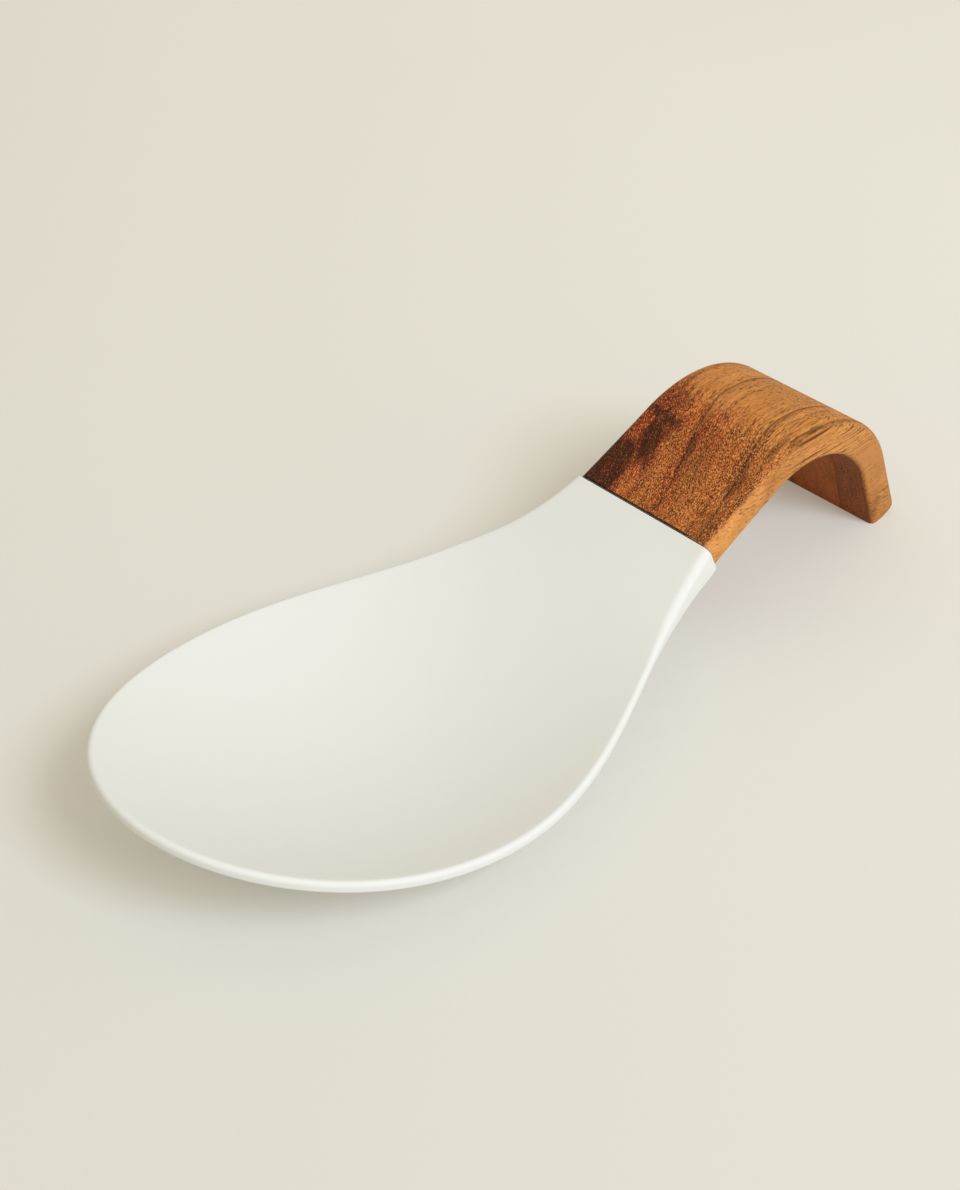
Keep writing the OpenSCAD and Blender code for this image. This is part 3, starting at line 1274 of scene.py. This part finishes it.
    def build(self) -> bpy.types.Object:
        """Sweep the handle, stand it on the table and cut its mortise.

        Returns:
            The finished piece.
        """
        piece = link("acacia_handle", bpy.data.meshes.new("acacia_handle"))
        modifier = piece.modifiers.new("sweep", "NODES")
        tree = self.sweep_tree()
        modifier.node_group = tree
        values = {**self.inputs(), "Wood": self.finish.material()}
        for socket in tree.interface.items_tree:
            if socket.in_out == "INPUT":
                modifier[socket.identifier] = values[socket.name]
        mesh = evaluated_mesh(piece)
        piece.modifiers.clear()
        piece.data = mesh
        cut_flat(mesh, TABLE, DOWN)
        close_up(mesh, self.sharp_deg)
        carve(piece, self.joint.tongue(self.middle, self.joint.glue_gap), Carve.CUT)
        close_up(piece.data, self.sharp_deg)
        dress(piece, "handle")
        return piece


@dataclass
class Dish:
    """White moulded dish: a shell about a middle surface, with a rounded lip."""

    joint: Joint
    finish: Finish
    middle: float
    belly_l: float = 68.0
    bowl_w: float = 108.5
    flare_l: float = 110.0
    neck_w: float = 48.0
    tip_h: float = 30.0
    side_h: float = 14.0
    low_l: float = 89.0
    dish_d: float = 11.5
    rim_t: float = 2.8
    floor_t: float = 5.4
    neck_t: float = 9.4
    thicken_l: float = 34.0
    thicken_power: float = 1.3
    lip_round: float = 2.2
    lip_under: float = 0.6
    lip_flat: float = 0.4
    upper_share: float = 0.45
    slope_step: float = 0.05
    flare_steps: int = 80
    fan_steps: int = 150
    dish_steps: int = 26
    lip_steps: int = 9
    sharp_deg: float = 35.0
    waist_w: float = field(init=False)
    neck_power: float = field(init=False)

    def __post_init__(self) -> None:
        """Work out the width that the flare runs out to and the curve of the neck's lip."""
        head_l, neck_h = self.joint.head_l, self.joint.neck_h
        left = (1 + math.cos(math.pi * min(1, (head_l - self.belly_l) / self.flare_l))) / 2
        self.waist_w = (self.neck_w - self.bowl_w * left) / (1 - left)
        self.neck_power = math.tan(self.joint.rise) * (head_l - self.low_l) / (neck_h - self.side_h)

    def half_w(self, x: float) -> float:
        """Half width over the lip, from the belly on."""
        turn = math.pi * min(1, (x - self.belly_l) / self.flare_l)
        return self.waist_w / 2 + (self.bowl_w - self.waist_w) / 4 * (1 + math.cos(turn))

    def flare_slope(self, x: float) -> float:
        """Change of the half width per length."""
        turn = math.pi * min(1, (x - self.belly_l) / self.flare_l)
        return -(self.bowl_w - self.waist_w) / 4 * math.pi / self.flare_l * math.sin(turn)

    def neck_share(self, x: float) -> float:
        """From 0 at the belly to 1 at the joint: the dish fades out."""
        share = (x - self.belly_l) / (self.joint.head_l - self.belly_l)
        return (1 - math.cos(math.pi * max(0, min(1, share)))) / 2

    def thick_share(self, x: float) -> float:
        """From 0 to 1 at the joint: the wall thickens."""
        share = 1 - (self.joint.head_l - x) / self.thicken_l
        return max(0, min(1, share)) ** self.thicken_power

    def lip_h(self, x: float) -> float:
        """Find the height of the top of the lip.

        Args:
            x: Distance from the tip.

        Returns:
            The height.
        """
        if x < self.low_l:
            return self.side_h + (self.tip_h - self.side_h) * ((self.low_l - x) / self.low_l) ** 2
        share = (x - self.low_l) / (self.joint.head_l - self.low_l)
        return self.side_h + (self.joint.neck_h - self.side_h) * share**self.neck_power

    def wall_t(self, x: float, out: float) -> float:
        """Find the thickness of the wall.

        Args:
            x: Distance from the tip.
            out: Squared share of the way out to the lip.

        Returns:
            The thickness.
        """
        plain = self.rim_t + (self.floor_t - self.rim_t) * max(0, 1 - out)
        share = self.thick_share(x)
        return plain * (1 - share) + self.neck_t * share

    def lip_r(self, x: float) -> float:
        """Rounding of the lip's upper edge."""
        return min(self.lip_round, (self.wall_t(x, 1) - self.lip_flat) * self.upper_share)

    def under_r(self, x: float) -> float:
        """Rounding of the lip's lower edge."""
        return min(self.lip_under, self.wall_t(x, 1) - self.lip_flat - self.lip_r(x))

    def out_share(self, x: float, y: float) -> float:
        """Say how near the lip a place is.

        Args:
            x: Distance from the tip.
            y: Distance from the middle line.

        Returns:
            Squared share of the way out to the lip.
        """
        r = self.lip_r(x)
        if x < self.belly_l:
            ahead = (self.belly_l - x) / (self.belly_l - r)
            return ahead**2 + (y / (self.bowl_w / 2 - r)) ** 2
        return (y / (self.half_w(x) - r)) ** 2

    def mid_h(self, x: float, y: float) -> float:
        """Height of the middle of the wall."""
        sink = self.dish_d * (1 - self.neck_share(x)) * (1 - self.out_share(x, y))
        return self.lip_h(x) - self.wall_t(x, 1) / 2 - sink

    def normal(self, x: float, y: float) -> Vector:
        """Find the upward normal of the middle of the wall.

        Args:
            x: Distance from the tip.
            y: Distance from the middle line.

        Returns:
            A unit vector.
        """
        d = self.slope_step
        slope_x = (self.mid_h(x + d, y) - self.mid_h(x - d, y)) / (2 * d)
        slope_y = (self.mid_h(x, y + d) - self.mid_h(x, y - d)) / (2 * d)
        return Vector((-slope_x, -slope_y, 1)).normalized()

    def wall_point(self, x: float, y: float, side: int) -> Vector:
        """Point on the upper face, where side is 1, or on the underside, where it is -1."""
        offset = side * self.wall_t(x, self.out_share(x, y)) / 2
        return Vector((x, y, self.mid_h(x, y))) + offset * self.normal(x, y)

    def station(self, place: int) -> float:
        """Distance from the tip of a place on the spine; the first lies past the joint."""
        raw_l = max(self.joint.head_l + self.neck_t, self.belly_l + self.flare_l)
        return raw_l + (self.belly_l - raw_l) * place / self.flare_steps

    def ribs(self) -> list[Rib]:
        """Lay the ribs out along one side, round the tip and back along the other side.

        Returns:
            For each rib its place on the spine, the end of the wall's middle and the outward
            direction, both in plan.
        """

        def side_rib(place: int, hand: int) -> Rib:
            """Lay a rib behind the belly.

            Args:
                place: Its place on the spine.
                hand: 1 at +Y, -1 at -Y.

            Returns:
                The rib.
            """
            x = self.station(place)
            out = Vector((-self.flare_slope(x), hand)).normalized()
            return place, Vector((x, hand * self.half_w(x))) - self.lip_r(x) * out, out

        def fan_rib(step: int) -> Rib:
            """Lay a rib round the tip.

            Args:
                step: Its place in the turn from +Y to -Y.

            Returns:
                The rib.
            """
            turn = math.pi * step / self.fan_steps
            ahead, aside, half = math.sin(turn), math.cos(turn), self.bowl_w / 2
            tip = Vector((self.belly_l * (1 - ahead), half * aside))
            out = Vector((-ahead / self.belly_l, aside / half)).normalized()
            return self.flare_steps, tip - self.lip_r(tip.x) * out, out

        places = range(self.flare_steps + 1)
        far = [side_rib(place, 1) for place in places]
        fan = [fan_rib(step) for step in range(1, self.fan_steps)]
        near = [side_rib(place, -1) for place in reversed(places)]
        return far + fan + near

    def rib_points(self, rib: Rib) -> list[Vector]:
        """Points of a rib over the upper face, round the lip and back along the underside.

        Args:
            rib: Place on the spine, end of the wall's middle, outward direction.

        Returns:
            The points, without those on the spine.
        """
        place, end, flat_out = rib
        start = Vector((self.station(place), 0))
        n = self.normal(end.x, end.y)
        out = flat_out.to_3d()
        lean = math.asin(-out.dot(n))
        up = (n + math.sin(lean) * out).normalized()
        r, q = self.lip_r(end.x), self.under_r(end.x)
        wall = self.wall_t(end.x, self.out_share(end.x, end.y))
        face_h = (wall - r - q - (r - q) * math.sin(lean)) / math.cos(lean)
        upper = Vector((end.x, end.y, self.mid_h(end.x, end.y))) + (wall / 2 - r) * n
        under = upper + (r - q) * out - face_h * up

        def lip_point(centre: Vector, radius: float, turn: float) -> Vector:
            """Point of a rounding, at an angle above the outward direction."""
            return centre + radius * (math.cos(turn) * out + math.sin(turn) * up)

        steps = range(1, self.dish_steps + 1)
        spots = [start.lerp(end, step / self.dish_steps) for step in steps]
        shares = [step / self.lip_steps for step in range(self.lip_steps + 1)]
        points = [self.wall_point(spot.x, spot.y, 1) for spot in spots]
        points += [lip_point(upper, r, (QUARTER + lean) * (1 - share)) for share in shares[1:]]
        points += [lip_point(under, q, (lean - QUARTER) * share) for share in shares]
        points += [self.wall_point(spot.x, spot.y, -1) for spot in reversed(spots[:-1])]
        return points

    def shell(self) -> bpy.types.Mesh:
        """Make the shell before its base and its joint are cut.

        Returns:
            A mesh that is open at the raw end of the neck.
        """
        ribs = self.ribs()
        rows = [self.rib_points(rib) for rib in ribs]
        stations = [self.station(place) for place in range(self.flare_steps + 1)]
        spine = [self.wall_point(x, 0, 1) for x in stations]
        belly = [self.wall_point(x, 0, -1) for x in stations]
        points = spine + belly + [point for row in rows for point in row]
        row_n = len(rows[0])
        spine_n = len(spine)
        loops = []
        for number, (place, _, _) in enumerate(ribs):
            first = 2 * spine_n + number * row_n
            loops.append([place, *range(first, first + row_n), spine_n + place])
        faces = []
        for one, two in zip(loops, loops[1:]):
            for step in range(row_n + 1):
                quad = [one[step], two[step], two[step + 1], one[step + 1]]
                faces.append(list(dict.fromkeys(quad)))
        mesh = bpy.data.meshes.new("moulded_dish")
        shift = Vector((-self.middle, 0, 0))
        mesh.from_pydata([(point + shift) * MM for point in points], [], faces)
        mesh.update()
        return mesh

    def build(self) -> bpy.types.Object:
        """Make the dish, stand it on the table and give it its tongue.

        Returns:
            The finished piece.
        """
        mesh = self.shell()
        mesh.materials.append(self.finish.material())
        cut_flat(mesh, self.joint.point(self.middle), self.joint.direction())
        cut_flat(mesh, TABLE, DOWN)
        close_up(mesh, self.sharp_deg)
        piece = link("moulded_dish", mesh)
        carve(piece, self.joint.tongue(self.middle, 0), Carve.JOIN)
        close_up(piece.data, self.sharp_deg)
        dress(piece, "bowl")
        return piece


@dataclass
class GlueLine:
    """Cured glue at the joint: the CAD node with its own finish."""

    finish: Finish
    node: str = "glue_line"

    def build(self) -> bpy.types.Object:
        """Dress the node.

        Returns:
            The node's object.
        """
        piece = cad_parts[self.node]
        material = self.finish.material()
        piece.data.materials.clear()
        piece.data.materials.append(material)
        return piece


@dataclass
class Studio:
    """Pale floor, soft light and the camera at the photograph's view."""

    paper: Finish
    floor_size: float = 6.0
    sky_colour: Colour = (1.0, 0.908, 0.71, 1.0)
    sky_strength: float = 0.63
    key_colour: tuple[float, float, float] = (0.78, 0.858, 1.0)
    key_power: float = 46.5
    key_size: float = 1.1
    key_distance: float = 2.6
    key_from: tuple[float, float, float] = (0.02, -1.0, 0.97)
    target: tuple[float, float, float] = (0.01167, 0.03135, 0.0)
    distance: float = 0.56366
    heading_deg: float = 46.59
    tilt_deg: float = 37.69
    focal_px: float = 2100.0
    image_h_px: float = 1190.0
    sensor_mm: float = 36.0

    def floor(self) -> None:
        """Lay the floor."""
        half = self.floor_size / 2
        mesh = bpy.data.meshes.new("floor")
        corners = [(-half, -half, 0), (half, -half, 0), (half, half, 0), (-half, half, 0)]
        mesh.from_pydata(corners, [], [(0, 1, 2, 3)])
        mesh.materials.append(self.paper.material())
        floor = link("floor", mesh)

    def light(self) -> None:
        """Light the scene with a warm plain sky and one large, cooler key."""
        world = bpy.data.worlds.new("studio")
        world.use_nodes = True
        world.node_tree.nodes.clear()
        graph = Graph(world.node_tree)
        sky = {"Color": self.sky_colour, "Strength": self.sky_strength}
        surface = graph.add("ShaderNodeBackground", None, sky)
        graph.add("ShaderNodeOutputWorld", None, {"Surface": surface})
        bpy.context.scene.world = world
        lamp = bpy.data.lights.new("key", "AREA")
        lamp.energy = self.key_power
        lamp.color = self.key_colour
        lamp.size = self.key_size
        key = bpy.data.objects.new("key", lamp)
        back = Vector(self.key_from).normalized()
        key.rotation_euler = back.to_track_quat("Z", "Y").to_euler()
        key.location = back * self.key_distance
        bpy.context.scene.collection.objects.link(key)

    def camera(self) -> None:
        """Stand the camera where the photograph was taken."""
        heading, tilt = math.radians(self.heading_deg), math.radians(self.tilt_deg)
        flat = math.cos(tilt)
        ahead = Vector((flat * math.cos(heading), flat * math.sin(heading), -math.sin(tilt)))
        right = Vector((math.sin(heading), -math.cos(heading), 0))
        up = right.cross(ahead)
        lens = bpy.data.cameras.new("camera")
        lens.sensor_fit = "VERTICAL"
        lens.sensor_height = self.sensor_mm
        lens.lens = self.focal_px / self.image_h_px * self.sensor_mm
        eye = bpy.data.objects.new("camera", lens)
        turn = Matrix((right, up, -ahead)).transposed().to_4x4()
        eye.matrix_world = Matrix.Translation(Vector(self.target) - self.distance * ahead) @ turn
        bpy.context.scene.collection.objects.link(eye)
        bpy.context.scene.camera = eye

    def build(self) -> None:
        """Set up the floor, the light, the camera and the plain view transform."""
        self.camera()
        self.light()
        self.floor()
        bpy.context.scene.view_settings.view_transform = "Standard"
        LOG.info("studio: floor, sky, key and camera")


def corners(box: Sequence[Vector]) -> list[list[float]]:
    """Lowest and highest corner as plain numbers."""
    return [[float(value) for value in corner] for corner in box]


def main() -> None:
    """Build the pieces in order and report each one."""
    logging.basicConfig(level=logging.INFO, format="%(name)s: %(message)s")
    Studio(Paper()).build()
    joint = Joint()
    handle = Handle(joint, Acacia())
    dish = Dish(joint, Melamine(), handle.middle)
    for assembly in (handle, dish, GlueLine(Adhesive())):
        piece = assembly.build()
        LOG.info("%s: %d faces", piece.name, len(piece.data.polygons))


if __name__ == "__main__":
    main()
